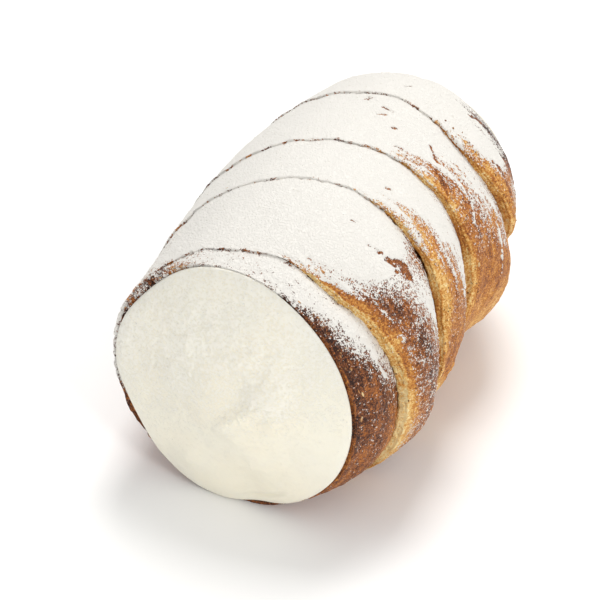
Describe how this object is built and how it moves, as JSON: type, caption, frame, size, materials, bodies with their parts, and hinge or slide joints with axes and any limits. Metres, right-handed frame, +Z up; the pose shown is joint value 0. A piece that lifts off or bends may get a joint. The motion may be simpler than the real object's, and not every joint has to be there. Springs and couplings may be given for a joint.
{
  "type": "cream roll pastry",
  "caption": "Puff pastry strip wound into a tube, filled with white foam and dusted with icing sugar, lying on its side.",
  "frame": {"origin": "centre of the bounding box, at the height of the surface that the roll lies on", "axes": "+Y along the roll from the shown foam end to the other end, +Z up, +X to the right when looking along +Y"},
  "size_m": [0.0606, 0.0888, 0.0591],
  "materials": {
    "crust": "baked golden brown puff pastry, matte, flaky at the edges of its turns",
    "foam": "smooth satin off-white egg-white foam",
    "sugar": "matte white icing sugar dusted over the top"
  },
  "bodies": {
    "root": {"pastry": "crust", "foam": "foam"}
  },
  "joints": []
}
